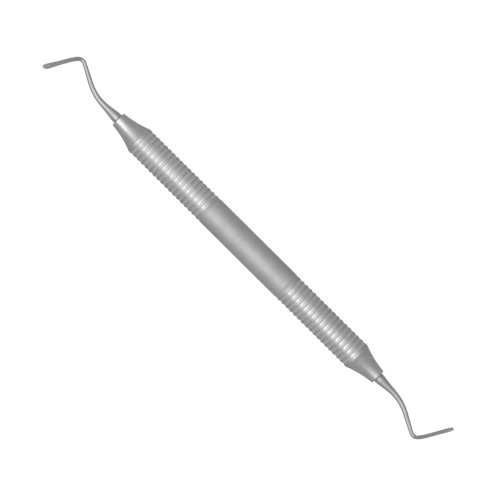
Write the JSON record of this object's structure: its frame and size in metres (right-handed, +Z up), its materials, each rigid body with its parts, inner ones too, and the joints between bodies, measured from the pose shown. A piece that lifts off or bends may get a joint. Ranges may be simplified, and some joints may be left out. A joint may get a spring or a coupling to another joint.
{
  "type": "gingival cord packer",
  "caption": "Double-ended gingival cord packer: hollow steel handle with ring grip and tapered noses, two cranked shanks with flat serrated blades.",
  "frame": {"origin": "on the surface it lies on, under the middle of the handle", "axes": "+X along the handle to the end whose blade stands across the bends, +Y to the left of it, +Z up; the bends lie in the level plane through the handle's axis"},
  "size_m": [0.1705, 0.0116, 0.0095],
  "materials": {
    "handle_steel": "fine turned satin stainless steel, rings a little brighter in their grooves",
    "working_end_steel": "ground stainless steel, polished on the round shank and matt grey on the blade"
  },
  "bodies": {
    "root": {"handle": "handle_steel", "working_end_left": "working_end_steel", "working_end_right": "working_end_steel"}
  },
  "joints": []
}
